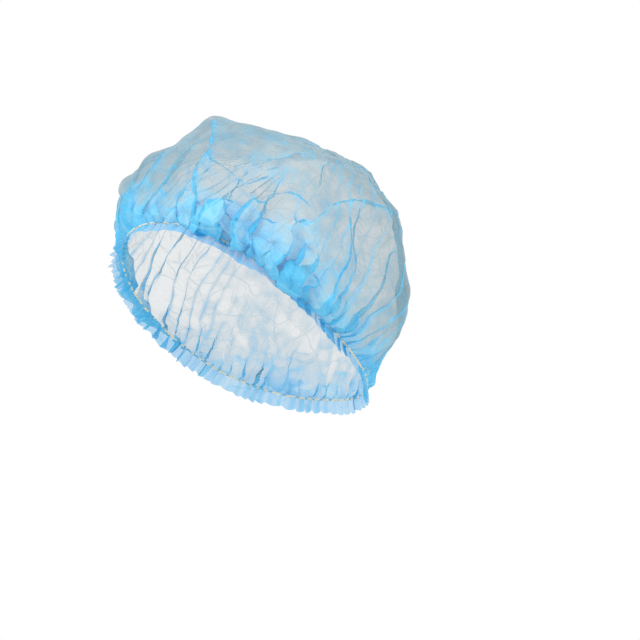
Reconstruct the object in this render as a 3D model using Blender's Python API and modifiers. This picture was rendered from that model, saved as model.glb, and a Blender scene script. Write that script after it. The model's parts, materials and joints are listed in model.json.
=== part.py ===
"""Disposable bouffant cap: a slack bag of nonwoven cloth, gathered on an elastic thread, with a frill below it.

The wearer faces -Y, the wearer's left is +X and up is +Z. The origin is the middle of the head opening.
"""
import math

import bmesh
import bpy
from mathutils import Vector

# The line of the elastic round the head, seen square to the opening
OPENING_FRONT = 0.0855
OPENING_BACK = 0.0925
OPENING_HALF_WIDTH = 0.0725
OPENING_SQUARENESS = 2.2

# The opening climbs from the nape to the forehead, and dips over the ears
OPENING_TILT = math.radians(34)
SIDE_DIP = 0.010

# Cloth, thread and the clearance between pieces
CLOTH = 0.0010
THREAD_DIAMETER = 0.0016
GAP = 0.0003

# The frill below the elastic
FRILL_DEPTH = 0.0090
FRILL_FLARE = 0.0045
FRILL_PLEAT_HEIGHT = 0.0014
FRILL_PLEATS = 60

# The bag: how far its flats stand from its middle, and how tightly it rounds from one flat to the next
BAG_REACH = 0.100
BAG_MIDDLE_BACK = 0.025
BAG_MIDDLE_UP = 0.0285
BAG_EDGE_SHARPNESS = 34

# The neck, where the bag comes in to the elastic
NECK_START = 0.84
NECK_CURVE = 2.2
GATHERS = 34
GATHER_HEIGHT = 0.0020
GATHER_REACH = 0.030

# Share of a ruffle's height where it stands out the most
RUFFLE_CREST = 0.35

# Flats of the slack bag: azimuth from the front to the wearer's left, elevation, share of the bag's reach
FLATS = [
    # azimuth, elevation, reach
    (0, -8, 1.13),
    (0, 30, 1.13),
    (3, 57, 1.10),
    (-20, 82, 0.99),
    (37, -20, 1.07),
    (37, 10, 1.08),
    (40, 40, 1.05),
    (45, 65, 0.99),
    (80, -25, 0.96),
    (80, 5, 0.97),
    (85, 35, 0.94),
    (127, -50, 0.97),
    (127, -20, 0.965),
    (127, 3, 0.92),
    (127, 30, 0.93),
    (127, 62, 0.908),
    (127, 79, 0.925),
    (165, -52, 1.06),
    (180, -25, 1.00),
    (180, 5, 0.94),
    (180, 35, 0.92),
    (180, 65, 0.92),
    (-165, -52, 1.06),
    (-130, -25, 0.96),
    (-130, 5, 0.94),
    (-130, 35, 0.92),
    (-130, 62, 0.92),
    (-90, -25, 0.94),
    (-90, 5, 0.95),
    (-90, 35, 0.94),
    (-90, 62, 0.96),
    (-53, -35, 1.02),
    (-53, -8, 0.93),
    (-53, 22, 1.04),
    (-53, 55, 1.05),
]

# Folds: from one azimuth and elevation to another, height, and width of the left and right slopes in mm
FOLDS = [
    # from azimuth, elevation, to azimuth, elevation, height, left, right
    (17, 12, 13, 27, 5.0, 6, 9),
    (13, 27, 4, 54, 6.0, 5, 10),
    (4, 54, -25, 66, 6.5, 12, 12),
    (-4, 14, 6, 42, 3.0, 8, 5),
    (-24, 12, -10, 42, 3.0, 9, 5),
    (-40, 4, -34, 30, 3.0, 8, 6),
    (13, 36, 38, 31, 2.5, 4, 8),
    (27, 17, 45, 26, 3.0, 4, 9),
    (45, 26, 52, 20, 2.5, 4, 8),
    (43, 14, 62, 20, 3.0, 4, 9),
    (62, 20, 79, 27, 3.5, 4, 9),
    (79, 27, 99, 20, 3.0, 4, 9),
    (71, 18, 67, 0, 2.5, 5, 5),
    (80, 20, 73, -4, 2.5, 5, 5),
    (57, 49, 36, 44, 2.0, 6, 6),
    (75, 47, 60, 30, 2.5, 6, 6),
    (94, -33, 100, -8, 2.5, 6, 6),
    (84, -30, 82, -8, 2.5, 6, 6),
    (100, 29, 120, 8, 3.0, 7, 7),
    (128, 44, 108, 30, 3.0, 7, 7),
    (140, -28, 134, 20, 3.5, 9, 7),
    (134, 20, 118, 44, 2.0, 8, 10),
    (168, -30, 160, 26, 4.5, 8, 9),
    (160, 26, 176, 56, 3.5, 9, 9),
    (-162, -32, -150, 20, 4.5, 9, 7),
    (-150, 20, -166, 52, 3.5, 8, 10),
    (-134, -28, -128, 30, 3.0, 8, 8),
    (-110, -20, -118, 24, 3.0, 7, 9),
    (-84, -16, -92, 34, 3.0, 9, 7),
    (-62, -6, -68, 40, 3.0, 8, 8),
    (-140, 46, -96, 50, 3.0, 7, 9),
    (150, 52, -178, 44, 3.0, 8, 8),
    (-60, 58, -100, 70, 2.5, 8, 8),
    (96, 62, 140, 72, 2.5, 8, 8),
]

# Pointed corners of the bag: azimuth, elevation, height and half width in mm
CORNERS = [
    # azimuth, elevation, height, half width
    (-3, 59, 4.0, 12),
    (-53, 30, 10.5, 10),
    (-55, 50, -3.5, 10),
    (-53, 3, -4.0, 8),
    (127, 50, 0.5, 12),
    (127, 16, -0.5, 12),
    (115, -30, -1.0, 9),
    (20, 62, 2.5, 12),
]

# Ruffles over the elastic: place along the opening, height above the elastic, stand and half width in mm
RUFFLES = [
    # azimuth, height, stand, half width
    (-35, 10, 4.0, 5),
    (-21, 9, 4.0, 5),
    (-8, 11, 4.0, 5),
    (5, 12, 4.5, 5),
    (17, 14, 5.5, 5),
    (29, 18, 7.5, 5),
    (41, 24, 10.0, 6),
    (54, 24, 10.0, 6),
    (66, 18, 8.5, 5),
    (77, 15, 7.0, 5),
    (90, 13, 6.0, 5),
    (104, 12, 5.0, 5),
    (118, 11, 4.5, 5),
    (134, 11, 4.5, 6),
    (152, 12, 5.0, 6),
    (171, 12, 5.0, 6),
    (-171, 12, 5.0, 6),
    (-151, 12, 5.0, 6),
    (-133, 11, 4.5, 6),
    (-116, 11, 4.5, 5),
    (-102, 12, 5.0, 5),
    (-88, 14, 6.0, 5),
    (-75, 16, 6.5, 5),
    (-62, 14, 6.0, 5),
    (-48, 12, 5.0, 5),
]

CROWN_GRID = 44
RIM_CROWDING = 1.3
FRILL_ROWS = 2
THREAD_STEPS = 84

MM = 0.001

UP_FROM_OPENING = Vector((0, math.sin(OPENING_TILT), math.cos(OPENING_TILT)))
BAG_MIDDLE = Vector((0, BAG_MIDDLE_BACK, BAG_MIDDLE_UP))


def signed_power(value, power):
    """Raises a number to a power and keeps its sign."""
    return math.copysign(abs(value) ** power, value)


def opening(turn):
    """Point on the line of the elastic; turn runs from the front to the wearer's left."""
    ahead = signed_power(math.cos(turn), 2 / OPENING_SQUARENESS)
    aside = signed_power(math.sin(turn), 2 / OPENING_SQUARENESS)
    forward = ahead * (OPENING_FRONT if ahead > 0 else OPENING_BACK)
    height = math.tan(OPENING_TILT) * forward - SIDE_DIP * aside ** 2
    return Vector((OPENING_HALF_WIDTH * aside, -forward, height))


def outward(turn):
    """Direction square to the line of the elastic, away from the head, in the plane of the opening."""
    step = 0.01
    along = (opening(turn + step) - opening(turn - step)).normalized()
    return along.cross(UP_FROM_OPENING).normalized()


def direction(azimuth, elevation):
    """Unit vector from the middle of the bag, with both angles in degrees."""
    turn = math.radians(azimuth)
    rise = math.radians(elevation)
    level = math.cos(rise)
    return Vector((math.sin(turn) * level, -math.cos(turn) * level, math.sin(rise)))


def arc(first, last, share):
    """Unit vector a share of the way along the great circle from one unit vector to another."""
    angle = first.angle(last)
    if angle < 1e-9:
        return last.copy()
    return (math.sin((1 - share) * angle) * first + math.sin(share * angle) * last) / math.sin(angle)


def bump(distance, half_width):
    """Rounded rise that is 1 at no distance and has gone at about twice its half width."""
    return math.exp(-((distance / half_width) ** 2))


FLAT_PLANES = [(direction(a, e), reach * BAG_REACH) for a, e, reach in FLATS]
CORNER_POINTS = [(direction(a, e), height * MM, half * MM) for a, e, height, half in CORNERS]
FOLD_ARCS = [
    (direction(a, e), direction(to_a, to_e), height * MM, left * MM, right * MM)
    for a, e, to_a, to_e, height, left, right in FOLDS
]


def flats_reach(towards):
    """Distance from the middle of the bag to its rounded flats."""
    total = 0.0
    for normal, reach in FLAT_PLANES:
        total += max(0.0, towards.dot(normal) / reach) ** BAG_EDGE_SHARPNESS
    return total ** (-1 / BAG_EDGE_SHARPNESS)


def fold_rise(towards):
    """Height of the folds and corners of the bag in one direction."""
    rise = 0.0
    for start, end, height, left, right in FOLD_ARCS:
        across = start.cross(end).normalized()
        side = math.asin(max(-1.0, min(1.0, towards.dot(across)))) * BAG_REACH
        nearest = (towards - across * towards.dot(across)).normalized()
        span = start.angle(end)
        past = max(start.angle(nearest), end.angle(nearest)) - span
        beyond = max(0.0, past) * BAG_REACH
        slope = left if side > 0 else right
        rise += height * bump(side, slope) * bump(beyond, (left + right) / 2)
    for point, height, half_width in CORNER_POINTS:
        rise += height * bump(towards.angle(point) * BAG_REACH, half_width)
    return rise


def ruffle_rise(turn, above):
    """Height of the ruffles at a place round the opening and a distance above the elastic."""
    rise = 0.0
    for azimuth, height, stand, half_width in RUFFLES:
        aside = math.remainder(turn - math.radians(azimuth), math.tau) * OPENING_HALF_WIDTH
        if abs(aside) > 3 * half_width * MM:
            continue
        share = above / (RUFFLE_CREST * height * MM)
        rise += stand * MM * bump(aside, half_width * MM) * share * math.exp(1 - share)
    return rise


def crown_point(share, turn):
    """Point of the crown's outer face; share runs from 0 at the top to 1 at the elastic."""
    rim = opening(turn) + UP_FROM_OPENING * (THREAD_DIAMETER / 2 + GAP)
    towards_rim = rim - BAG_MIDDLE
    towards = arc(UP_FROM_OPENING, towards_rim.normalized(), share)
    neck = max(0.0, (share - NECK_START) / (1 - NECK_START)) ** NECK_CURVE
    bag = flats_reach(towards) + fold_rise(towards) * (1 - neck)
    reach = bag * (1 - neck) + towards_rim.length * neck
    above = (1 - share) * UP_FROM_OPENING.angle(towards_rim) * BAG_REACH
    reach += ruffle_rise(turn, above)
    gathered = max(0.0, 1 - above / GATHER_REACH)
    gather = GATHER_HEIGHT * gathered * math.cos(GATHERS * turn)
    return BAG_MIDDLE + towards * reach + outward(turn) * gather


def frill_point(share, turn):
    """Point of the frill's middle; share runs from 0 at the elastic to 1 at the free edge."""
    below = THREAD_DIAMETER / 2 + GAP + share * FRILL_DEPTH
    flare = FRILL_FLARE * share ** 1.5
    pleat = FRILL_PLEAT_HEIGHT * (0.25 + 0.75 * share) * math.cos(FRILL_PLEATS * turn)
    return opening(turn) - UP_FROM_OPENING * below + outward(turn) * (flare + pleat)


def make_material(name, colour, roughness):
    """Principled material of one colour."""
    material = bpy.data.materials.new(name)
    material.use_nodes = True
    shader = material.node_tree.nodes["Principled BSDF"]
    shader.inputs["Base Color"].default_value = (*colour, 1)
    shader.inputs["Roughness"].default_value = roughness
    shader.inputs["Metallic"].default_value = 0
    material.diffuse_color = (*colour, 1)
    return material


def make_object(name, data, material, collection):
    """Object with its material in a collection."""
    thing = bpy.data.objects.new(name, data)
    data.materials.append(material)
    collection.objects.link(thing)
    return thing


def add_wall(thing, side):
    """Solidify an open sheet to the thickness of the cloth."""
    wall = thing.modifiers.new("cloth", "SOLIDIFY")
    wall.thickness = CLOTH
    wall.offset = side
    wall.use_even_offset = False
    wall.use_rim = True


def disc_place(x, y):
    """Share of the radius and turn on a disc for a point of a square from -1 to 1."""
    if x == 0 and y == 0:
        return 0.0, 0.0
    if abs(x) > abs(y):
        radius, turn = x, math.pi / 4 * y / x
    else:
        radius, turn = y, math.pi / 2 - math.pi / 4 * x / y
    if radius < 0:
        radius, turn = -radius, turn + math.pi
    return radius, turn


def build_crown(material, collection):
    """A square grid laid over the bag as a disc, so that its rim runs round the elastic."""
    mesh = bpy.data.meshes.new("crown")
    sheet = bmesh.new()
    bmesh.ops.create_grid(sheet, x_segments=CROWN_GRID, y_segments=CROWN_GRID, size=1)
    for vertex in sheet.verts:
        radius, turn = disc_place(vertex.co.x, vertex.co.y)
        vertex.co = crown_point(1 - (1 - radius) ** RIM_CROWDING, turn)
    bmesh.ops.triangulate(sheet, faces=sheet.faces, quad_method="BEAUTY")
    bmesh.ops.recalc_face_normals(sheet, faces=sheet.faces)
    top = max(sheet.faces, key=lambda face: face.calc_center_median().z)
    if top.normal.z < 0:
        bmesh.ops.reverse_faces(sheet, faces=sheet.faces)
    sheet.to_mesh(mesh)
    sheet.free()
    crown = make_object("crown", mesh, material, collection)
    add_wall(crown, -1)
    return crown


def build_frill(material, collection):
    """A ring of cloth, drawn down from the elastic in pleats."""
    mesh = bpy.data.meshes.new("frill")
    sheet = bmesh.new()
    ring = bmesh.ops.create_circle(sheet, segments=4 * FRILL_PLEATS, radius=1)
    edges = list({edge for vertex in ring["verts"] for edge in vertex.link_edges})
    for _ in range(FRILL_ROWS):
        made = bmesh.ops.extrude_edge_only(sheet, edges=edges)["geom"]
        edges = [part for part in made if isinstance(part, bmesh.types.BMEdge)]
        edges = [edge for edge in edges if not edge.is_wire and edge.is_boundary]
        moved = {vertex for edge in edges for vertex in edge.verts}
        bmesh.ops.translate(sheet, verts=list(moved), vec=(0, 0, -1 / FRILL_ROWS))
    for vertex in sheet.verts:
        turn = math.atan2(vertex.co.x, -vertex.co.y)
        vertex.co = frill_point(-vertex.co.z, turn)
    bmesh.ops.recalc_face_normals(sheet, faces=sheet.faces)
    sheet.to_mesh(mesh)
    sheet.free()
    frill = make_object("frill", mesh, material, collection)
    add_wall(frill, 0)
    return frill


def build_elastic(material, collection):
    """A closed round thread along the line of the opening."""
    curve = bpy.data.curves.new("elastic", "CURVE")
    curve.dimensions = "3D"
    curve.bevel_depth = THREAD_DIAMETER / 2
    curve.bevel_resolution = 1
    curve.use_fill_caps = False
    line = curve.splines.new("POLY")
    line.points.add(THREAD_STEPS - 1)
    for index, point in enumerate(line.points):
        point.co = (*opening(math.tau * index / THREAD_STEPS), 1)
    line.use_cyclic_u = True
    return make_object("elastic", curve, material, collection)


def main():
    for thing in list(bpy.data.objects):
        bpy.data.objects.remove(thing, do_unlink=True)
    collection = bpy.data.collections.new("disposable_hairnet")
    bpy.context.scene.collection.children.link(collection)
    crown_cloth = make_material("crown_nonwoven", (0.38, 0.68, 0.86), 0.85)
    frill_cloth = make_material("frill_nonwoven", (0.26, 0.60, 0.85), 0.85)
    elastic_thread = make_material("elastic_thread", (0.80, 0.78, 0.66), 0.70)
    build_crown(crown_cloth, collection)
    build_frill(frill_cloth, collection)
    build_elastic(elastic_thread, collection)


main()
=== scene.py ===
# %% [markdown]
# # A disposable bouffant cap, as it is worn
#
# The cap is a disc of very thin spunbond cloth. An elastic thread near its edge draws it together, so
# that it puffs out into a slack bag above the thread and ends in a short frill below it. The packed
# solids give the places and sizes, and this script gives the cloth its folds, its gathers and its
# see-through finish.

# %% Load the frame
import json
import math

import bmesh
import bpy
import numpy as np
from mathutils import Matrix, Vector
from mathutils.bvhtree import BVHTree


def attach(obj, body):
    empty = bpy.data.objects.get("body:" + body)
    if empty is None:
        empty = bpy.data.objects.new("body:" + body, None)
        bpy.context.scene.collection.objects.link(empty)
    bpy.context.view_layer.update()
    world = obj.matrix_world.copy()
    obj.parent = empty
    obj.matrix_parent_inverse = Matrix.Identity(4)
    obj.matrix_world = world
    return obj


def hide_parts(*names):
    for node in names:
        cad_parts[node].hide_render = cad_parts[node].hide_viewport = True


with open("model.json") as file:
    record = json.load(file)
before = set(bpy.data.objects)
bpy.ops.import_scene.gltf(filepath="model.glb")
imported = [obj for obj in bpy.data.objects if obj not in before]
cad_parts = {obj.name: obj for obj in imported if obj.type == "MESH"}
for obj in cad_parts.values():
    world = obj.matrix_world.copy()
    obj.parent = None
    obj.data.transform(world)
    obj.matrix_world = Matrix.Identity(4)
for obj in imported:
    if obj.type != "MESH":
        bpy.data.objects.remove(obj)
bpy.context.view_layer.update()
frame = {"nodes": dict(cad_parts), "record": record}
MM = 0.001

# %% [markdown]
# ## Directions
#
# The mount at the origin is the middle of the cap's opening, and its axis points out of it, so the
# opposite direction leads up into the bag. With the cap's own left and the way ahead, it makes three
# directions at right angles, and everything round the opening is measured in them.

# %% Directions at the opening
seat = next(mount for mount in frame["record"]["mounts"] if mount["name"] == "head_seat")
UP = -np.array(seat["axis"])
UP /= np.linalg.norm(UP)
SIDE = np.array([1.0, 0.0, 0.0])
AHEAD = np.cross(UP, SIDE)
AHEAD *= np.sign(-AHEAD[1])
print("up into the bag", UP.round(3), "ahead", AHEAD.round(3))

# %% [markdown]
# ## The line of the thread
#
# The thread could be drawn as a new curve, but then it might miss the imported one. So its line is read
# from the elastic solid. Every place round the opening has a turn, from the front of the cap to its own
# left, and the points of the solid near that turn are averaged. The table that this gives can be read
# at any turn.

# %% Thread line
LINE_STEPS = 720
LINE_WIDTH = math.radians(2.5)


def node_points(name):
    """World points of a solid of the frame."""
    thing = frame["nodes"][name]
    points = np.empty(len(thing.data.vertices) * 3)
    thing.data.vertices.foreach_get("co", points)
    return points.reshape(-1, 3)


def around(turn, values):
    """Values of the thread's table at any turn, in a closed ring."""
    place = (turn + math.pi) / math.tau * LINE_STEPS
    low = np.floor(place).astype(int) % LINE_STEPS
    part = (place - np.floor(place))[..., None]
    return values[low] * (1 - part) + values[(low + 1) % LINE_STEPS] * part


thread_points = node_points("elastic")
thread_turns = np.arctan2(thread_points @ SIDE, thread_points @ AHEAD)
line_turns = np.linspace(-math.pi, math.pi, LINE_STEPS, endpoint=False)
apart = np.angle(np.exp(1j * (line_turns[:, None] - thread_turns[None, :])))
near = np.exp(-((apart / LINE_WIDTH) ** 2))
line_points = near @ thread_points / near.sum(1)[:, None]
line_along = np.roll(line_points, -1, 0) - np.roll(line_points, 1, 0)
line_out = np.cross(line_along, UP)
line_out /= np.linalg.norm(line_out, axis=1)[:, None]
line_length = np.linalg.norm(np.roll(line_points, -1, 0) - line_points, axis=1).sum()
print(f"thread line {line_length / MM:.0f} mm long")

# %% [markdown]
# ## The cloth's grid
#
# A disc could be a fan of rings, but a fan has a pole in its middle that pinches every fold. A square
# grid whose rings are pulled round keeps near-square cells all over, and its border becomes the
# gathered rim. Each point gets a turn round the disc and a share of the way from the middle to the rim.
# The rings are closer together near the rim, where the gathers are fine.

# %% Grid on the disc
GRID = 300
RIM_CROWDING = 1.25
FLAT_RADIUS = 0.220

cloth = bmesh.new()
bmesh.ops.create_grid(cloth, x_segments=GRID, y_segments=GRID, size=1)
crown_mesh = bpy.data.meshes.new("crown_cloth")
cloth.to_mesh(crown_mesh)
cloth.free()

square = np.empty(len(crown_mesh.vertices) * 3)
crown_mesh.vertices.foreach_get("co", square)
square = square.reshape(-1, 3)[:, :2]
ring = np.abs(square).max(1)
wide = np.abs(square[:, 0]) > np.abs(square[:, 1])
in_quarter = math.pi / 4 * square / np.where(ring > 0, ring, 1)[:, None]
turn = np.select(
    [wide & (square[:, 0] > 0), wide, square[:, 1] > 0],
    [in_quarter[:, 1], math.pi - in_quarter[:, 1], math.pi / 2 - in_quarter[:, 0]],
    in_quarter[:, 0] - math.pi / 2,
)
turn = np.angle(np.exp(1j * turn))
share = 1 - (1 - ring) ** RIM_CROWDING
flat = np.stack([np.sin(turn), np.cos(turn)], 1) * (share * FLAT_RADIUS)[:, None]
print(f"{len(square)} points in {GRID // 2} rings")

# %% [markdown]
# ## Directions from the middle of the bag
#
# Each point of the grid looks out from the middle of the bag in its own direction. The middle of the
# disc looks straight up, the rim looks at the thread, and the points between swing evenly from one to
# the other. Small changes to the bag are then given as soft round spots, by azimuth and elevation.

# %% Where each point of the grid looks
BAG_MIDDLE = np.array([0.0, 0.025, 0.0285])
BAG_RADIUS = 0.1

rim = around(turn, line_points)
to_rim = rim - BAG_MIDDLE
rim_reach = np.linalg.norm(to_rim, axis=1)
to_rim /= rim_reach[:, None]
swing = np.arccos(np.clip(to_rim @ UP, -1, 1))
towards = (
    np.sin((1 - share) * swing)[:, None] * UP + np.sin(share * swing)[:, None] * to_rim
) / np.sin(swing)[:, None]
above = (1 - share) * swing * BAG_RADIUS


def direction(azimuth, elevation):
    """Unit vector from the middle of the bag, with both angles in degrees."""
    a, e = math.radians(azimuth), math.radians(elevation)
    return np.array([math.sin(a) * math.cos(e), -math.cos(a) * math.cos(e), math.sin(e)])


def spots(rows):
    """Sum of soft round spots at every point of the grid."""
    total = np.zeros(len(towards))
    for azimuth, elevation, half_width, more in rows:
        off = np.degrees(np.arccos(np.clip(towards @ direction(azimuth, elevation), -1, 1)))
        total += more * np.exp(-((off / half_width) ** 2))
    return total


print(f"cloth runs up to {above.max() / MM:.0f} mm from the thread")

# %% [markdown]
# ## The bag's main form
#
# The crown solid already has the peak, the long folds and the ruffles, in coarse facets. It could be
# copied and subdivided, but its facets would show through the thin cloth. So rays from outside towards
# the middle of the bag find its outer face for each point of the grid, and a few rounds of averaging
# turn the facets into soft cloth. The rays end just short of the rim, and in the neck above it the
# surface runs down to the thread.

# %% Outer face of the crown solid
FACET_SMOOTHING = 14
RAY_START = 0.3
RAYS_END = 0.992
NECK_START = 0.955
OUTLINE_FITS = [
    # azimuth, elevation, half width in degrees, rise in mm
    (-53, 30, 9, 5.0),
    (-53, 78, 9, -2.5),
    (127, 50, 14, 2.5),
    (127, -12, 8, -3.0),
]


def averaged(values, rounds):
    """Values on the grid, each averaged half and half with its four neighbours, a number of times."""
    table = values.reshape(GRID + 1, GRID + 1, -1)
    for _ in range(rounds):
        wider = np.pad(table, ((1, 1), (1, 1), (0, 0)), mode="edge")
        around_it = wider[:-2, 1:-1] + wider[2:, 1:-1] + wider[1:-1, :-2] + wider[1:-1, 2:]
        table = 0.5 * table + 0.125 * around_it
    return table.reshape(values.shape)


def eased(part):
    """A share from 0 to 1 that starts and ends gently."""
    return part * part * (3 - 2 * part)


crown_solid = frame["nodes"]["crown"].data
crown_tree = BVHTree.FromPolygons(
    [vertex.co for vertex in crown_solid.vertices], [face.vertices for face in crown_solid.polygons]
)
reach = np.array(rim_reach)
for index, way in enumerate(towards):
    start = BAG_MIDDLE + way * RAY_START
    hit = crown_tree.ray_cast(Vector(start), Vector(-way), RAY_START)
    if hit[0] is not None and share[index] < RAYS_END:
        reach[index] = RAY_START - hit[3]
reach = averaged(reach, FACET_SMOOTHING) + spots(OUTLINE_FITS) * MM
neck = eased(np.clip((share - NECK_START) / (1 - NECK_START), 0, 1))
reach = reach * (1 - neck) + rim_reach * neck
base = BAG_MIDDLE + towards * reach[:, None]
print(f"bag {np.ptp(base, axis=0).round(3)} m")

# %% [markdown]
# ## Crumples
#
# Thin crisp cloth that has been folded in a packet doesn't bend in smooth waves. It breaks into flat
# facets that meet in straight creases. Noise would give it soft lumps. The convex hull of random points
# on a ball is just such a faceted skin, and once its points are moved in and out by chance it looks
# crumpled. Three of them, from coarse to fine, are added up by sending a ray along the direction of
# each point of the grid.
#
# Where the cloth is heaped above the thread it is crushed far more, and sideways too. Three balls for
# each cell size, one for each direction in space, give that shift.

# %% Crumpled layers
POINTS_A_CELL = 1.15
CELL_JITTER = 0.28
CRUMPLES = [
    # cell in mm, height in mm, seed
    (44, 2.2, 5),
    (25, 1.6, 8),
    (14, 0.9, 13),
]
CRUSHES = [
    # cell in mm, shift in mm, three seeds
    (11, 3.4, (31, 32, 33)),
    (6.5, 4.2, (41, 42, 43)),
    (3.8, 2.6, (51, 52, 53)),
]


def even_points(count):
    """Points spread evenly over a unit ball along a spiral."""
    step = np.arange(count) + 0.5
    level = 1 - 2 * step / count
    spin = math.pi * (1 + math.sqrt(5)) * step
    across = np.sqrt(1 - level ** 2)
    return np.stack([np.cos(spin) * across, np.sin(spin) * across, level], 1)


def crumple(cell, height, seed):
    """Rise of a crumpled ball over its mean at each direction of the grid, in metres."""
    rng = np.random.default_rng(seed)
    places = even_points(int(4 * math.pi * (BAG_RADIUS / cell) ** 2 * POINTS_A_CELL))
    places += rng.normal(0, CELL_JITTER * cell / BAG_RADIUS, places.shape)
    places /= np.linalg.norm(places, axis=1)[:, None]
    ball = bmesh.new()
    for place in places:
        ball.verts.new(place)
    bmesh.ops.convex_hull(ball, input=ball.verts)
    for vertex in ball.verts:
        vertex.co *= BAG_RADIUS + height * rng.uniform(-1, 1)
    tree = BVHTree.FromBMesh(ball)
    ball.free()
    found = np.array([tree.ray_cast(Vector((0, 0, 0)), Vector(way))[3] for way in towards])
    return found - found.mean()


crushed = np.zeros_like(towards)
for cell, shift, seeds in CRUSHES:
    crushed += np.stack([crumple(cell * MM, shift * MM, seed) for seed in seeds], 1)
crushed = averaged(crushed, 1)
crumpled = sum(crumple(cell * MM, height * MM, seed) for cell, height, seed in CRUMPLES)
crumpled = averaged(crumpled, 2)
print(f"crumples from {crumpled.min() / MM:.1f} to {crumpled.max() / MM:.1f} mm")

# %% [markdown]
# ## Gathers
#
# The disc is far larger round than its opening, so the thread bunches it up. One wave all round would
# look like a cake tin. On the real cap fine pleats stand side by side at the thread, and further up
# they run together in pairs, so there are fewer and wider ones. Each row of the table is one such
# generation. The pleats are arches, round outside and sharp inside, and a slow drift shifts them
# sideways so that no two are alike.
#
# The cloth isn't gathered evenly. At the left front it crowds together, and there the pleats stand
# further out.

# %% Pleats that no two are alike
LEAN_LAG = 1.2
UNEVENNESS = 0.7
WEAKEST_PLEAT = 0.2
STRONGEST_PLEAT = 2
SLOWEST_WAVE = 3


def drift(turn, seed, detail):
    """Slow wander round the opening, from about -1 to 1."""
    total = np.zeros_like(turn)
    rng = np.random.default_rng(seed)
    for wave in range(SLOWEST_WAVE, detail):
        total += rng.normal() / math.sqrt(detail) * np.sin(wave * turn + rng.uniform(0, math.tau))
    return total


def pleat_phase(turn, count, wander):
    """Phase of a number of pleats round the opening that wander sideways."""
    return count * turn + wander * drift(turn, count, detail=20)


def uneven_pleats(turn, seed):
    """Factor that makes some pleats strong and some weak."""
    return np.clip(1 + UNEVENNESS * drift(turn, seed, detail=26), WEAKEST_PLEAT, STRONGEST_PLEAT)


def leaning_way(turn, seed):
    """The side that the pleats lean to, 1 or -1."""
    return np.where(drift(turn, seed, detail=14) > 0, 1, -1)


def arches(phase):
    """Pleats with round crests at 0.5 and sharp valleys at -1.5."""
    return 2 * np.abs(np.cos(phase / 2)) - 1.5


sample = uneven_pleats(line_turns, seed=1)
print(f"pleats vary from {sample.min():.1f} to {sample.max():.1f} of their mean height")

# %% Where the gathers crowd together
CROWDS = [
    # azimuth, half width in degrees, how much more they stand, how far they hang in mm
    (23, 15, 0.8, 6.0),
    (55, 22, 0.9, 7.5),
    (88, 16, 0.35, 3.0),
    (-85, 30, 0.4, 2.5),
    (-170, 40, 0.3, 1.0),
    (0, 18, 0.3, 2.0),
    (-35, 22, 0.2, 1.5),
]

crowd = np.ones(len(turn))
sag = np.zeros(len(turn))
for azimuth, half_width, more, droop in CROWDS:
    off = np.angle(np.exp(1j * (turn - math.radians(azimuth))))
    part = np.exp(-(off / math.radians(half_width)) ** 2)
    crowd += more * part
    sag += droop * MM * part
heap = np.clip(crowd - 1, 0, 1)
print(f"crowds up to {crowd.max():.1f}, hanging up to {sag.max() / MM:.1f} mm")

# %% Gathers above the thread
PLEATS = 92
PLEAT_WANDER = 2.4
PETALS = 61
PETAL_WANDER = 1.6
CALM_GAIN = 0.55
CROWD_GAIN = 1.7
GATHERS = [
    # count, height, lean, highest at, reach up from there and down from there in mm, wander
    (PLEATS, 1.4, 1.3, 0, 10, 1, PLEAT_WANDER),
    (PETALS, 1.5, 1.4, 7, 11, 5, PETAL_WANDER),
    (37, 1.6, 1.2, 13, 17, 8, 2.4),
    (23, 1.5, 0.5, 24, 30, 12, 3.0),
]

rise = np.zeros(len(turn))
lean_over = np.zeros(len(turn))
for count, height, lean, peak, up_reach, down_reach, wander in GATHERS:
    phase = pleat_phase(turn, count, wander)
    past = above / MM - peak
    strength = np.exp(-((past / np.where(past > 0, up_reach, down_reach)) ** 2))
    gain = CALM_GAIN + CROWD_GAIN * (crowd - 1) if peak else 1
    uneven = strength * uneven_pleats(turn, count + 1) * MM * gain
    rise += height * uneven * arches(phase)
    lean_over += lean * uneven * np.sin(phase + LEAN_LAG) * leaning_way(turn, count + 2)
out_rim = around(turn, line_out)
along_rim = around(turn, line_along)
along_rim /= np.linalg.norm(along_rim, axis=1)[:, None]
print(f"gathers from {rise.min() / MM:.1f} to {rise.max() / MM:.1f} mm")

# %% [markdown]
# ## Ruffles that hang over the thread
#
# In the crowds the pleats are too long for their place, so they hang over the thread like petals.
# Single petals could be modelled and set side by side, but they would look stuck on. Here the one cloth
# hangs down and stands out, a little above the thread, and swells more at some turns than at others.
# The petals sit on the second row of gathers. Further up, where the cloth is heaped, rows of smaller
# petals lie one above the other, each with its own count and drift.

# %% Petals at the thread
PETAL_SIZE = 1.2
PETAL_CHANCE = 0.3
PETAL_WAVES = [
    # count, wander, gain
    (PETALS, PETAL_WANDER, 0.35),
    (37, 2.4, 0.3),
]
HANG_AT = 0.006
STAND_AT = 0.012
STAND_SHARE = 0.4
LEAN_AT = 0.009
LEAN_SHARE = 0.3


def swell(place):
    """Swell that starts at 0, is 1 where the place is 1 and then dies away."""
    return place * np.exp(1 - place)


petal_size = np.full(len(turn), PETAL_SIZE)
for count, wander, gain in PETAL_WAVES:
    petal_size += gain * arches(pleat_phase(turn, count, wander))
petal_size += PETAL_CHANCE * drift(turn, seed=40, detail=30)
hang = sag * petal_size * swell(above / HANG_AT)
stand = STAND_SHARE * sag * petal_size * swell(above / STAND_AT)
petal_swing = np.sin(pleat_phase(turn, PETALS, PETAL_WANDER) + LEAN_LAG)
petal_lean = LEAN_SHARE * sag * petal_swing * swell(above / LEAN_AT)
print(f"petals hang up to {hang.max() / MM:.1f} mm and stand out up to {stand.max() / MM:.1f} mm")

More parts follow.
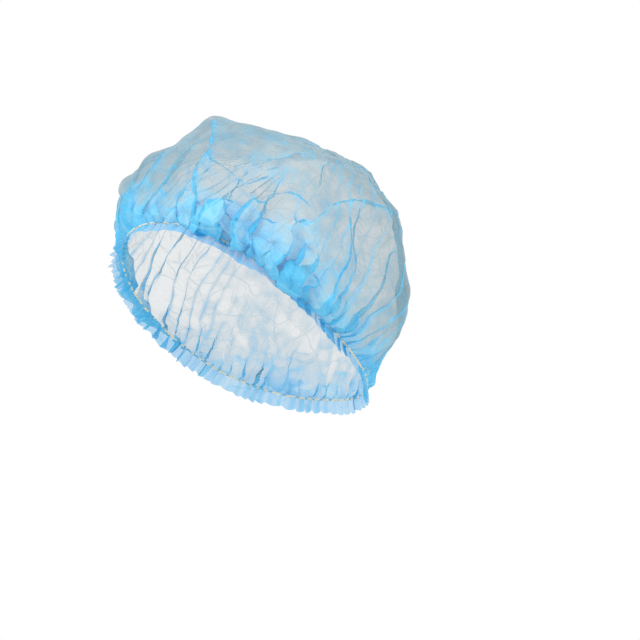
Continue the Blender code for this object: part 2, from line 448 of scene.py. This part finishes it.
# %% Rows of petals where the cloth is heaped
ROW_ARCH = 0.5
ROW_CHANCE = 0.4
ROW_WANDER = 2
FURTHEST_OUT = 0.6
TIERS = [
    # height above the thread, half width, how far they hang and how far they stand out in mm, count
    (13, 3.0, 6.5, 3.0, 67),
    (21, 3.2, 6.5, 2.6, 53),
    (29, 3.6, 6.0, 2.2, 41),
    (37, 4.0, 4.5, 1.8, 31),
]

for height, spread, drop, out, count in TIERS:
    row_arches = arches(pleat_phase(turn, count, ROW_WANDER))
    row_drift = drift(turn, count + 5, detail=30)
    size = heap * MM * (1 + ROW_ARCH * row_arches + ROW_CHANCE * row_drift)
    past = above / MM - height
    hang += drop * size * np.exp(-((past / spread) ** 2))
    stand += out * size * np.exp(-((past / spread - FURTHEST_OUT) ** 2))
print(f"with the rows, up to {hang.max() / MM:.1f} mm and {stand.max() / MM:.1f} mm")

# %% [markdown]
# ## Creases
#
# A few long creases give the cap its look: the tuck that runs up to the peak, the crescent folds on the
# side and the long wavy fold below them. Chance can't put them in their places, so a table does. Each
# is an arc between two directions seen from the middle of the bag, bowed to one side. Its near slope is
# steep and its far slope is gentle, as where cloth laps over itself. Each crease also laps some cloth,
# which counts as layers.

# %% Table of the long creases
CREASES = [
    # azimuth, elevation, to azimuth, elevation, then bow, height, steep and gentle slope in mm, layers
    (17, 11, 13, 30, 2, 4.5, 2.0, 9, 2.6),
    (13, 30, 6, 56, -3, 4.0, 2.0, 9, 1.4),
    (20, 14, 17, 30, 2, 3.0, 2.0, 7, 1.0),
    (17, 30, 12, 46, -2, 2.0, 1.5, 5, 0.8),
    (13, 36, 25, 33, 3, 2.5, 1.5, 6, 0.8),
    (25, 33, 39, 35, -4, 2.5, 1.5, 6, 0.8),
    (27, 18, 45, 26, 4, 3.0, 1.5, 7, 1.4),
    (45, 26, 53, 20, 2, 2.5, 1.5, 6, 1.2),
    (43, 15, 61, 21, -4, 3.0, 1.5, 9, 1.6),
    (60, 21, 80, 27, 2, 3.5, 1.5, 12, 1.8),
    (79, 27, 99, 20, 3, 3.0, 1.5, 10, 1.6),
    (71, 20, 67, 1, 2, 2.5, 1.5, 5, 1.5),
    (79, 24, 73, 0, -3, 2.5, 1.5, 5, 1.5),
    (-5, 15, 6, 44, 3, 2.5, 2.0, 14, 0.6),
    (-20, 20, -10, 42, -3, 2.5, 2.0, 14, 0.6),
    (-40, 12, -24, 46, 3, 2.0, 3.0, 16, 0.6),
    (6, 16, 14, 33, 2, 2.5, 1.5, 8, 0.5),
    (57, 49, 36, 44, 4, 2.0, 1.5, 6, 0.5),
    (75, 46, 60, 30, -3, 2.0, 1.5, 6, 0.5),
]
print(f"{len(CREASES)} long creases")

# %% Long creases
MM_A_RADIAN = BAG_RADIUS / MM
FADE_LENGTH = 0.2
FADE_START = 0.3
RIDGE_POWER = 1.5
TUCK = 3.0
TUCK_EDGE = 1.6
TUCK_REACH = 7
LAP_STEEP_SIDE = 0.9
LAP_GENTLE_SHARE = 0.45
LAP_POWER = 1.6


def crease(row):
    """Shift of the cloth in metres and layers lapped by one crease, at every point of the grid."""
    a, e, to_a, to_e, bow, height, steep, gentle, layers_lapped = row
    first, last = direction(a, e), direction(to_a, to_e)
    across = np.cross(first, last)
    span = math.asin(np.linalg.norm(across))
    across /= np.linalg.norm(across)
    ahead = np.cross(across, first)
    along = np.arctan2(towards @ ahead, towards @ first) / span
    aside = np.arcsin(np.clip(towards @ across, -1, 1)) * MM_A_RADIAN
    aside -= bow * 4 * along * (1 - along)
    slope = np.where(aside > 0, steep, gentle)
    ends = eased(np.clip(np.minimum(along, 1 - along) / FADE_LENGTH + FADE_START, 0, 1))
    ridge = height * MM * ends * np.exp(-np.abs(aside / slope) ** RIDGE_POWER)
    tuck = -TUCK * MM * ends * np.tanh(aside / TUCK_EDGE) * np.exp(-np.abs(aside / TUCK_REACH))
    lap_width = np.where(aside > 0, LAP_STEEP_SIDE, LAP_GENTLE_SHARE * gentle)
    lapped = layers_lapped * ends * np.exp(-np.abs(aside / lap_width) ** LAP_POWER)
    return towards * ridge[:, None] + across * tuck[:, None], lapped


creased = np.zeros_like(towards)
doubled = np.zeros(len(towards))
for row in CREASES:
    shift, lapped = crease(row)
    creased += shift
    doubled += lapped
print(f"creases up to {np.linalg.norm(creased, axis=1).max() / MM:.1f} mm")

# %% [markdown]
# ## Painted shade and heaped cloth
#
# Some cloth lies doubled without a crease of its own, and some of the bag lies in shade. Two tables of
# soft spots count both as layers. The painted shade only makes the cloth less see-through, so those
# patches look darker grey. Heaped cloth, where the gathers run on up the bag, looks blue as well.

# %% Painted shade and doubled cloth
# Painted shade: darker grey patches where the bag lies in shade, given as layers that only make the
# cloth less see-through
PAINTED_SHADE_SPOTS = [
    # azimuth, elevation, half width in degrees, layers
    (-28, 22, 24, 1.8),
    (112, -18, 20, 2.6),
    (125, 5, 26, 2.0),
    (125, 45, 28, 1.6),
    (60, 78, 28, 1.8),
    (-50, 55, 24, 1.2),
]
HEAPED = [
    # azimuth, elevation, half width in degrees, layers
    (-34, 9, 15, 1.3),
    (-10, 9, 12, 1.0),
    (17, 14, 4.5, 1.8),
    (15, 20, 3.4, 1.8),
    (13, 26, 2.6, 1.4),
    (21, 11, 10, 2.4),
    (44, 3, 15, 1.7),
    (62, -6, 12, 1.2),
    (84, -16, 12, 0.7),
]

slack = spots(PAINTED_SHADE_SPOTS)
doubled += spots(HEAPED)
print(f"slack up to {slack.max():.1f} layers, doubled up to {doubled.max():.1f}")

# %% [markdown]
# ## Tucks along the crumples
#
# Where crumpled cloth folds inwards it laps over itself in a narrow tuck, and three layers lie on each
# other there. On see-through cloth these tucks show as darker lines with sharp edges. A grid can't be
# cut and folded, but moving each point a little down the slope of the crumples closes the inward
# creases until they lap over, and opens the outward ones.

# %% Slope of the crumples
SMALLEST_CELL = 1e-16
STEEPEST = 0.6


def downhill(points, heights):
    """Slope of a height field over a surface on the grid, as a vector along the surface."""
    table = points.reshape(GRID + 1, GRID + 1, 3)
    field = heights.reshape(GRID + 1, GRID + 1)
    u, v = np.gradient(table, axis=0), np.gradient(table, axis=1)
    hu, hv = np.gradient(field, axis=0), np.gradient(field, axis=1)
    uu, uv, vv = (u * u).sum(-1), (u * v).sum(-1), (v * v).sum(-1)
    room = np.maximum(uu * vv - uv * uv, SMALLEST_CELL)
    along_u = (vv * hu - uv * hv) / room
    along_v = (uu * hv - uv * hu) / room
    return (along_u[..., None] * u + along_v[..., None] * v).reshape(-1, 3)


slope = downhill(base, crumpled)
slope /= np.maximum(1, np.linalg.norm(slope, axis=1) / STEEPEST)[:, None]
print(f"mean slope {np.linalg.norm(slope, axis=1).mean():.2f}")

# %% [markdown]
# ## The crown's cloth
#
# Now all the parts are added to the bag's main form: crumples, tucks and creases where the cloth is
# loose, the crush, the petals and the gathers near the thread. How far the surface then leans away from
# the bag's own tells where it is tucked, and the shader makes those places blue.

# %% Put the crown together
TUCK_DRAW = 0.0040
SKIN_DROP = 0.0020
LOOSE_FROM = 0.004
LOOSE_OVER = 0.030
MOST_CRUSH = 1.2
CRUSH_FROM = 0.006
CRUSH_REACH = 0.030
LEAN_THAT_SHOWS = 0.88

loose = np.clip((above - LOOSE_FROM) / LOOSE_OVER, 0, 1)
crush = np.clip(crowd - 1, 0, MOST_CRUSH) * np.clip(above / CRUSH_FROM, 0, 1)
crush *= np.exp(-((above / CRUSH_REACH) ** 4))
outward = towards * (1 - neck)[:, None] + out_rim * neck[:, None]
outward /= np.linalg.norm(outward, axis=1)[:, None]
crown_points = base + outward * ((crumpled - SKIN_DROP) * loose)[:, None]
crown_points -= slope * (TUCK_DRAW * loose)[:, None]
crown_points += creased * loose[:, None]
crown_points += crushed * crush[:, None]
gathered = out_rim * (rise + stand)[:, None] + along_rim * (lean_over + petal_lean)[:, None]
crown_points += gathered - UP * hang[:, None]
crown_mesh.vertices.foreach_set("co", crown_points.ravel())
crown_mesh.update()
normals = np.empty(len(crown_points) * 3)
crown_mesh.vertices.foreach_get("normal", normals)
upright = np.abs((normals.reshape(-1, 3) * outward).sum(1))
tucked = averaged(np.clip(LEAN_THAT_SHOWS - upright, 0, 1), 1)
print(f"crown {np.ptp(crown_points, axis=0).round(3)} m, tucked up to {tucked.max():.2f}")

# %% [markdown]
# ## Layers
#
# See-through cloth looks denser where more of it lies in the same place. The flat area of each cell of
# the grid, over its area on the finished bag, says how much cloth has gone into it.

# %% Count the layers
LAYER_SMOOTHING = 6
FEWEST_LAYERS = 0.8
MOST_LAYERS = 2.6


def cell_areas(points, mesh):
    """Area of cloth round each vertex of a mesh of four-sided faces."""
    corners = np.empty(len(mesh.loops), dtype=np.int32)
    mesh.loops.foreach_get("vertex_index", corners)
    corners = corners.reshape(-1, 4)
    a, b, c, d = (points[corners[:, k]] for k in range(4))
    area = np.linalg.norm(np.cross(c - a, d - b), axis=1) / 2
    total = np.zeros(len(points))
    for k in range(4):
        np.add.at(total, corners[:, k], area / 4)
    return total


crown_area = cell_areas(crown_points, crown_mesh)
flat_area = cell_areas(np.pad(flat, ((0, 0), (0, 1))), crown_mesh)
layers = averaged(flat_area, LAYER_SMOOTHING) / averaged(crown_area, LAYER_SMOOTHING)
layers = np.clip(layers, FEWEST_LAYERS, MOST_LAYERS)
print(f"cloth {crown_area.sum():.4f} m2 of {flat_area.sum():.4f} m2 cut")
print(f"layers {layers.min():.1f} to {layers.max():.1f}")

# %% [markdown]
# ## Frill
#
# Below the thread the same pleats go on for a short way and flare out. The frill is a ring that is
# extruded row by row, and each row is then laid out from the thread line: down, a little outwards, and
# in and out with the pleats, with some finer ones towards the free edge.

# %% Ring for the frill
STEPS_A_PLEAT = 12
FRILL_ROWS = 10

frill = bmesh.new()
bmesh.ops.create_circle(frill, segments=PLEATS * STEPS_A_PLEAT, radius=1)
edges = frill.edges[:]
for _ in range(FRILL_ROWS):
    grown = bmesh.ops.extrude_edge_only(frill, edges=edges)["geom"]
    points = [part for part in grown if isinstance(part, bmesh.types.BMVert)]
    bmesh.ops.translate(frill, verts=points, vec=(0, 0, -1 / FRILL_ROWS))
    fresh = set(points)
    edges = [
        part for part in grown
        if isinstance(part, bmesh.types.BMEdge) and part.verts[0] in fresh and part.verts[1] in fresh
    ]
frill_mesh = bpy.data.meshes.new("frill_cloth")
frill.to_mesh(frill_mesh)
frill.free()
ring_points = np.empty(len(frill_mesh.vertices) * 3)
frill_mesh.vertices.foreach_get("co", ring_points)
ring_points = ring_points.reshape(-1, 3)
frill_turn = np.arctan2(ring_points[:, 0], -ring_points[:, 1])
fall = -ring_points[:, 2]
print(f"ring of {len(frill_mesh.polygons)} faces")

# %% Frill below the thread
FRILL_DEPTH = 0.0090
FRILL_FLARE = 0.0045
FLARE_POWER = 1.5
PLEAT_DEPTH = 1.2
CALMER_BELOW = 0.25
EDGE_PLEATS = 0.7
FRILL_LEAN = 0.8
SCALLOPS = 0.05
HEM_CHANCE = 0.10
MOST_FRILL_LAYERS = 3

frill_phase = pleat_phase(frill_turn, PLEATS, PLEAT_WANDER)
uneven = uneven_pleats(frill_turn, PLEATS + 1)
arch = arches(frill_phase)
edge_arch = arches(pleat_phase(frill_turn, PETALS, PETAL_WANDER))
wave = MM * uneven * (1 - CALMER_BELOW * fall) * (PLEAT_DEPTH * arch + EDGE_PLEATS * fall * edge_arch)
frill_swing = np.sin(frill_phase + LEAN_LAG) * leaning_way(frill_turn, PLEATS + 2)
frill_lean = FRILL_LEAN * MM * uneven * frill_swing
hem_drift = drift(frill_turn, seed=3, detail=26)
hem = FRILL_DEPTH * (1 + SCALLOPS * arch * fall + HEM_CHANCE * hem_drift)
frill_out = around(frill_turn, line_out)
frill_along = around(frill_turn, line_along)
frill_along /= np.linalg.norm(frill_along, axis=1)[:, None]
frill_base = around(frill_turn, line_points) - UP * (fall * hem)[:, None]
frill_base += frill_out * (FRILL_FLARE * fall ** FLARE_POWER)[:, None]
frill_points = frill_base + frill_out * wave[:, None] + frill_along * frill_lean[:, None]
frill_mesh.vertices.foreach_set("co", frill_points.ravel())
frill_mesh.update()
frill_layers = cell_areas(frill_points, frill_mesh) / cell_areas(frill_base, frill_mesh)
frill_layers = np.clip(frill_layers, 1, MOST_FRILL_LAYERS)
print(f"frill with {PLEATS} pleats, up to {(fall * hem).max() / MM:.1f} mm deep")

# %% [markdown]
# ## Elastic thread
#
# The thread is two thin plies twisted round each other. A plain round cord would look like wire. Its
# pale turns show between the pleats like stitches. Each ply is a closed curve with a round bevel, and
# both become one mesh.

# %% Twisted thread
PLY_RADIUS = 0.00042
PLY_OFFSET = 0.00036
TWISTS = 120
STEPS_A_TWIST = 8

thread_curve = bpy.data.curves.new("elastic_thread", "CURVE")
thread_curve.dimensions = "3D"
thread_curve.bevel_depth = PLY_RADIUS
thread_curve.bevel_resolution = 2
ply_turns = np.linspace(-math.pi, math.pi, TWISTS * STEPS_A_TWIST, endpoint=False)
centre = around(ply_turns, line_points)
side = around(ply_turns, line_out)
for ply in range(2):
    line = thread_curve.splines.new("POLY")
    line.points.add(len(ply_turns) - 1)
    twist = TWISTS * ply_turns + ply * math.pi
    places = centre + side * (np.cos(twist) * PLY_OFFSET)[:, None]
    places = places + UP * (np.sin(twist) * PLY_OFFSET)[:, None]
    for point, place in zip(line.points, places):
        point.co = (*place, 1)
    line.use_cyclic_u = True
thread_draft = bpy.data.objects.new("elastic_thread_draft", thread_curve)
bpy.context.scene.collection.objects.link(thread_draft)
evaluated = thread_draft.evaluated_get(bpy.context.evaluated_depsgraph_get())
thread_mesh = bpy.data.meshes.new_from_object(evaluated)
bpy.data.objects.remove(thread_draft)
print(f"thread mesh of {len(thread_mesh.polygons)} faces")

# %% [markdown]
# ## Shader sums in Python
#
# A shader is a tree of nodes, and wiring sums by hand is long. A small class wraps a socket so that
# plain Python sums on it add the Math nodes. One method makes any other node. Colours are given as they
# look on a screen and turned into the linear ones that a shader uses.

# %% Shader helpers
class Value:
    """A shader socket that Python operators can be used on."""

    def __init__(self, tree, socket):
        self.tree = tree
        self.socket = socket

    def node(self, kind, settings=None, output=0, **inputs):
        """A node of one type: its settings, then its inputs by name or by number, as in _0."""
        made = self.tree.nodes.new(kind)
        for name, setting in (settings or {}).items():
            setattr(made, name, setting)
        for name, value in inputs.items():
            key = int(name[1:]) if name[0] == "_" and name[1:].isdigit() else name.replace("_", " ")
            if isinstance(value, Value):
                value.feed(made.inputs[key])
            else:
                made.inputs[key].default_value = value
        return Value(self.tree, made.outputs[output])

    def feed(self, socket):
        """Link this value to a socket."""
        self.tree.links.new(self.socket, socket)

    def maths(self, operation, *others):
        """A Math node on the numbers or values given."""
        inputs = {f"_{place}": value for place, value in enumerate(others)}
        return self.node("ShaderNodeMath", {"operation": operation}, **inputs)

    def __add__(self, other):
        return self.maths("ADD", self, other)

    __radd__ = __add__

    def __sub__(self, other):
        return self.maths("SUBTRACT", self, other)

    def __rsub__(self, other):
        return self.maths("SUBTRACT", other, self)

    def __mul__(self, other):
        return self.maths("MULTIPLY", self, other)

    __rmul__ = __mul__

    def __rpow__(self, other):
        return self.maths("POWER", other, self)

    def held(self, low=0.0, high=1.0):
        """The value, kept between two numbers."""
        return self.node("ShaderNodeClamp", Value=self, Min=low, Max=high)


def srgb(red, green, blue):
    """Linear colour of an 8-bit screen colour."""
    parts = [part / 255 for part in (red, green, blue)]
    linear = [((part + 0.055) / 1.055) ** 2.4 if part > 0.04 else part / 12.92 for part in parts]
    return (*linear, 1)


def new_material(name):
    """A material, its starting value for sums and its main shader."""
    material = bpy.data.materials.new(name)
    material.use_nodes = True
    tree = material.node_tree
    return material, Value(tree, None), tree.nodes["Principled BSDF"]


print(f"middle grey on the screen is {srgb(128, 128, 128)[0]:.2f} in linear light")

# %% [markdown]
# ## Fine creases and facets
#
# The number of layers comes from the mesh, and the shader adds what is too fine for it. Narrow creases
# run along the borders of cells on the flat cloth, bent a little by noise, and only some of them show.
# Flat facets differ a little from one to the next. Both are counted in layers, as the mesh's own are.

# %% Fine creases and facets
CREASE_LINES = [
    # cell in mm, half width of the line in mm, layers that the line adds, share of the lines that show
    (36, 0.60, 0.70, 0.80),
    (20, 0.50, 0.60, 0.70),
    (11, 0.40, 0.40, 0.45),
    (5.5, 0.25, 0.30, 0.35),
]
BENDS_A_CELL = 2.2
BEND = 0.22
LINE_SOFTNESS = (1.4, 0.4)
PATCHES_A_CELL = 0.8
ALL_PATCHES = 0.62
PATCH_SPREAD = 0.3
PATCH_SOFTNESS = 0.1
FACET_CELLS = (21, 9)


def noise(start, place, scale, detail, roughness=0.5, output=0):
    """Soft noise at a place, or three of them as a colour with output 1."""
    inputs = {"Vector": place, "Scale": scale, "Detail": detail, "Roughness": roughness}
    return start.node("ShaderNodeTexNoise", output=output, **inputs)


def brought(value, low, high, shape="LINEAR"):
    """A value brought from between low and high to between 0 and 1, and kept there."""
    settings = {"interpolation_type": shape}
    return value.node("ShaderNodeMapRange", settings, Value=value, _1=low, _2=high, _3=0.0, _4=1.0)


def crease_lines(start, place, cell, half_width, gain, shown):
    """Layers added by the narrow creases along the borders of cells on the flat cloth."""
    size = cell * MM
    bend = noise(start, place, BENDS_A_CELL / size, 2.0, output=1)
    bending = {"operation": "MULTIPLY_ADD"}
    bent = start.node("ShaderNodeVectorMath", bending, _0=bend, _1=(BEND * size,) * 3, _2=place)
    borders = {"feature": "DISTANCE_TO_EDGE", "voronoi_dimensions": "2D"}
    border = start.node("ShaderNodeTexVoronoi", borders, Vector=bent, Scale=1 / size)
    outside, inside = (half_width / cell * softness for softness in LINE_SOFTNESS)
    line = brought(border, outside, inside, "SMOOTHSTEP")
    patches = noise(start, place, PATCHES_A_CELL / size, 1.0)
    shows_from = ALL_PATCHES - PATCH_SPREAD * shown
    return line * brought(patches, shows_from, shows_from + PATCH_SOFTNESS) * gain


def cloth_facets(start, place, cell):
    """Levels from -0.5 to 0.5 that differ from one flat facet of the crumpled cloth to the next."""
    facet = start.node("ShaderNodeTexVoronoi", output=1, Vector=place, Scale=1 / (cell * MM))
    return start.node("ShaderNodeSeparateColor", Color=facet) - 0.5


print(f"lines along cells of {[row[0] for row in CREASE_LINES]} mm, facets of {FACET_CELLS} mm")

# %% [markdown]
# ## See-through cloth
#
# Spunbond cloth is a thin web of fibres. It could be a glassy material, but its light doesn't bend, it
# is only partly stopped. One layer takes away only part of what is behind it, and each layer on top of
# it takes the same part again, so its alpha is one minus the layer's gap to the power of the number of
# layers. Few layers look grey, many look blue, and a paler blue is painted in the creases as a
# highlight, where the cloth's edge catches the light. The cloth also glows a little in its own colour,
# which is painted light in place of the light that scatters through it.

# %% Nonwoven cloth
ONE_LAYER = 0.30
ONE_FRILL_LAYER = 0.45
MORE_IN_FRILL = 0.4
THIN = srgb(118, 144, 152)
THIN_FRILL = srgb(84, 172, 216)
DENSE = srgb(50, 168, 218)
# Painted highlight: a paler blue for the creases, where the cloth's edge catches the light
EDGE_HIGHLIGHT = srgb(104, 192, 224)
# Painted light: the cloth glows a little in its own colour, in place of light scattered through it
PAINTED_SCATTER_GLOW = 0.16
CLOUDS = 420.0
FIBRES = 1700.0
FACET_GAIN = 0.45
FACET_SHIFT = 0.2
CLOUD_SHIFT = 0.5
LINES_LEFT_GREY = 0.35
TUCKS_BLUE = 2.2
FULL_TINT = 2.4
PAINTED_SHADE_FACETS = 0.5
COUNT_LIMITS = (0.4, 7.0)
ALPHA_LIMITS = (0.05, 0.97)
EDGE_HIGHLIGHT_PARTS = {"facets": -0.5, "creases": 0.9, "clouds": 0.8, "fibres": 0.6}
SURFACE = {
    "Emission Strength": PAINTED_SCATTER_GLOW,
    "Roughness": 0.75,
    "Specular IOR Level": 0.25,
    "Sheen Weight": 0.15,
    "Sheen Roughness": 0.5,
}


def stored(start, name, output=2):
    """A number that is stored at each point of the mesh, or a place with output 1."""
    return start.node("ShaderNodeAttribute", {"attribute_name": name}, output=output)


def mixed(start, part, first, last):
    """A colour between two others."""
    return start.node("ShaderNodeMix", {"data_type": "RGBA"}, output=2, _0=part, _6=first, _7=last)


def nonwoven(name, layer_alpha, thin, more_layers):
    """See-through cloth that gets denser and bluer with the number of layers, with painted shade, a
    painted highlight and a painted glow.
    """
    material, start, shader = new_material(name)
    place = stored(start, "flat_place", output=1)
    coords = start.node("ShaderNodeTexCoord", output=3)
    cloud = noise(start, coords, CLOUDS, 3.0, 0.6)
    fibre = noise(start, coords, FIBRES, 2.0, 0.6)
    creases = sum(crease_lines(start, place, *row) for row in CREASE_LINES)
    facets = sum(cloth_facets(start, coords, cell) for cell in FACET_CELLS)
    density = (stored(start, "layers") - 1) * (1 + facets * FACET_GAIN)
    density = density + facets * FACET_SHIFT + more_layers + (cloud - 0.5) * CLOUD_SHIFT + creases
    blue = density - creases * LINES_LEFT_GREY + stored(start, "tucked") * TUCKS_BLUE
    tint = brought(blue, 0.0, FULL_TINT)
    parts = {"facets": facets, "creases": creases, "clouds": cloud - 0.5, "fibres": fibre - 0.5}
    # Painted highlight: the pale blue shows along the crease lines, and at random with the clouds,
    # fibres and facets
    edge = (0.5 + sum(parts[part] * gain for part, gain in EDGE_HIGHLIGHT_PARTS.items())).held()
    colour = mixed(start, tint, thin, mixed(start, edge, DENSE, EDGE_HIGHLIGHT))
    # Painted shade: the shade patches add layers, varied by facet, that only darken the cloth
    count = density + stored(start, "slack") * (1 + facets * PAINTED_SHADE_FACETS) + 1
    through = (1 - layer_alpha) ** count.held(*COUNT_LIMITS)
    relief = fibre + cloud + creases * 2
    bump = start.node("ShaderNodeBump", Strength=0.35, Distance=0.0003, Height=relief)
    colour.feed(shader.inputs["Base Color"])
    # Painted light: the cloth's colour also glows, in place of light scattered through the thin cloth
    colour.feed(shader.inputs["Emission Color"])
    (1 - through).held(*ALPHA_LIMITS).feed(shader.inputs["Alpha"])
    bump.feed(shader.inputs["Normal"])
    for socket, number in SURFACE.items():
        shader.inputs[socket].default_value = number
    print(f"{name} has {len(material.node_tree.nodes)} nodes")
    return material


crown_cloth = nonwoven("crown_nonwoven_cloth", ONE_LAYER, THIN, 0.0)
frill_cloth = nonwoven("frill_nonwoven_cloth", ONE_FRILL_LAYER, THIN_FRILL, MORE_IN_FRILL)

# %% [markdown]
# ## Rubber of the thread
#
# The thread is pale rubber with a covering of fine yarn. It is too thin to show a weave, so one matt
# cream colour is enough.

# %% Thread rubber
thread_rubber, _, shader = new_material("elastic_thread_rubber")
shader.inputs["Base Color"].default_value = srgb(226, 221, 196)
shader.inputs["Roughness"].default_value = 0.6
print("pale matt rubber for the thread")

# %% [markdown]
# ## Layers at each point
#
# The shader reads the numbers that were worked out above as attributes of the mesh, and the place on
# the flat cloth too, so that the fine creases follow the cloth into its folds. Just above the thread
# the bunched cloth counts as more layers than the grid has.

# %% Store the layers
CALM_BUNCH = 0.7
CROWD_BUNCH = 2.3
BUNCH_REACH = 0.023
THREAD_BUNCH = 1.4
THREAD_REACH = 0.009


def store(mesh, places, **tables):
    """Store the place on the flat cloth in metres, and tables named for attributes, at every point."""
    for name, numbers in tables.items():
        attribute = mesh.attributes.new(name, "FLOAT", "POINT")
        attribute.data.foreach_set("value", numbers.astype(np.float32))
    attribute = mesh.attributes.new("flat_place", "FLOAT_VECTOR", "POINT")
    attribute.data.foreach_set("vector", np.pad(places, ((0, 0), (0, 1))).astype(np.float32).ravel())


bunched = (CALM_BUNCH + CROWD_BUNCH * (crowd - 1)) * np.exp(-((above / BUNCH_REACH) ** 3))
bunched += THREAD_BUNCH * np.exp(-((above / THREAD_REACH) ** 2))
store(crown_mesh, flat, layers=layers + doubled + bunched, slack=slack, tucked=tucked)
frill_flat = np.stack([np.sin(frill_turn), np.cos(frill_turn)], 1)
frill_flat *= (FLAT_RADIUS + fall * FRILL_DEPTH)[:, None]
store(frill_mesh, frill_flat, layers=frill_layers)
print(f"bunched cloth adds up to {bunched.max():.1f} layers")

# %% [markdown]
# ## Pieces
#
# Each piece rides on the root body and takes the place of one solid. The crown's cloth was cut as a
# flat disc, and the frill is its hem.


def add_piece(name, mesh, material):
    """A smooth piece of the cap with one material."""
    thing = bpy.data.objects.new(name, mesh)
    bpy.context.scene.collection.objects.link(thing)
    mesh.materials.clear()
    mesh.materials.append(material)
    for face in mesh.polygons:
        face.use_smooth = True
    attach(thing, "root")
    return thing


crown_piece = add_piece("crown_cloth", crown_mesh, crown_cloth)
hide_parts("crown")
frill_piece = add_piece("frill_cloth", frill_mesh, frill_cloth)
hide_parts("frill")
thread_piece = add_piece("elastic_cord", thread_mesh, thread_rubber)
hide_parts("elastic")

# %% [markdown]
# ## Light
#
# The photograph is cut out on plain white, and its soft light comes from all round with a little more
# from the upper left. A white world gives the ground and most of the light, and two large lamps give
# the rest. They are placed as the camera sees them, so its sideways angle comes first.

# %% Light
YAW = math.radians(36.5)
LIT_PLACE = Vector((0, 0, 0.03))
LAMPS = [
    # name, place to the camera's right, towards the camera and up in m, size in m, power in W
    ("key", -0.9, 1.3, 1.3, 1.0, 16),
    ("fill", 1.3, 1.1, 0.7, 1.2, 6),
]

world = bpy.data.worlds.new("studio")
bpy.context.scene.world = world
world.use_nodes = True
world.node_tree.nodes["Background"].inputs["Color"].default_value = (1, 1, 1, 1)
world.node_tree.nodes["Background"].inputs["Strength"].default_value = 1.0
right = Vector((math.cos(YAW), math.sin(YAW), 0))
toward = Vector((math.sin(YAW), -math.cos(YAW), 0))
for name, aside, nearer, higher, size, power in LAMPS:
    data = bpy.data.lights.new(name, "AREA")
    data.size = size
    data.energy = power
    lamp = bpy.data.objects.new(name, data)
    lamp.location = right * aside + toward * nearer + Vector((0, 0, higher))
    lamp.rotation_euler = (LIT_PLACE - lamp.location).to_track_quat("-Z", "Y").to_euler()
    bpy.context.scene.collection.objects.link(lamp)
print(f"{len(LAMPS)} lamps and a white world")

# %% [markdown]
# ## Camera
#
# The camera stands at the cap's left front, level with it, with a long lens. Its place and lens were
# fitted to the outline of the cap in the photograph. See-through cloth in many layers needs more
# transparent bounces than Blender gives by itself, or the deepest folds turn black.

# %% Camera
PITCH = math.radians(0.8)
DISTANCE = 1.4
LENS = 118.1
SENSOR = 36
TO_THE_RIGHT = 0.0507
RAISED = -0.0051
LAYERS_SEEN = 32

back = Vector((math.sin(YAW) * math.cos(PITCH), -math.cos(YAW) * math.cos(PITCH), math.sin(PITCH)))
camera_data = bpy.data.cameras.new("camera")
camera_data.sensor_width = SENSOR
camera_data.lens = LENS
camera = bpy.data.objects.new("camera", camera_data)
camera.location = back * DISTANCE + right * TO_THE_RIGHT + back.cross(right) * RAISED
camera.rotation_euler = back.to_track_quat("Z", "Y").to_euler()
bpy.context.scene.collection.objects.link(camera)
bpy.context.scene.camera = camera
bpy.context.scene.view_settings.view_transform = "Standard"
bpy.context.scene.cycles.transparent_max_bounces = LAYERS_SEEN
print(f"camera {LENS} mm, {DISTANCE} m away")
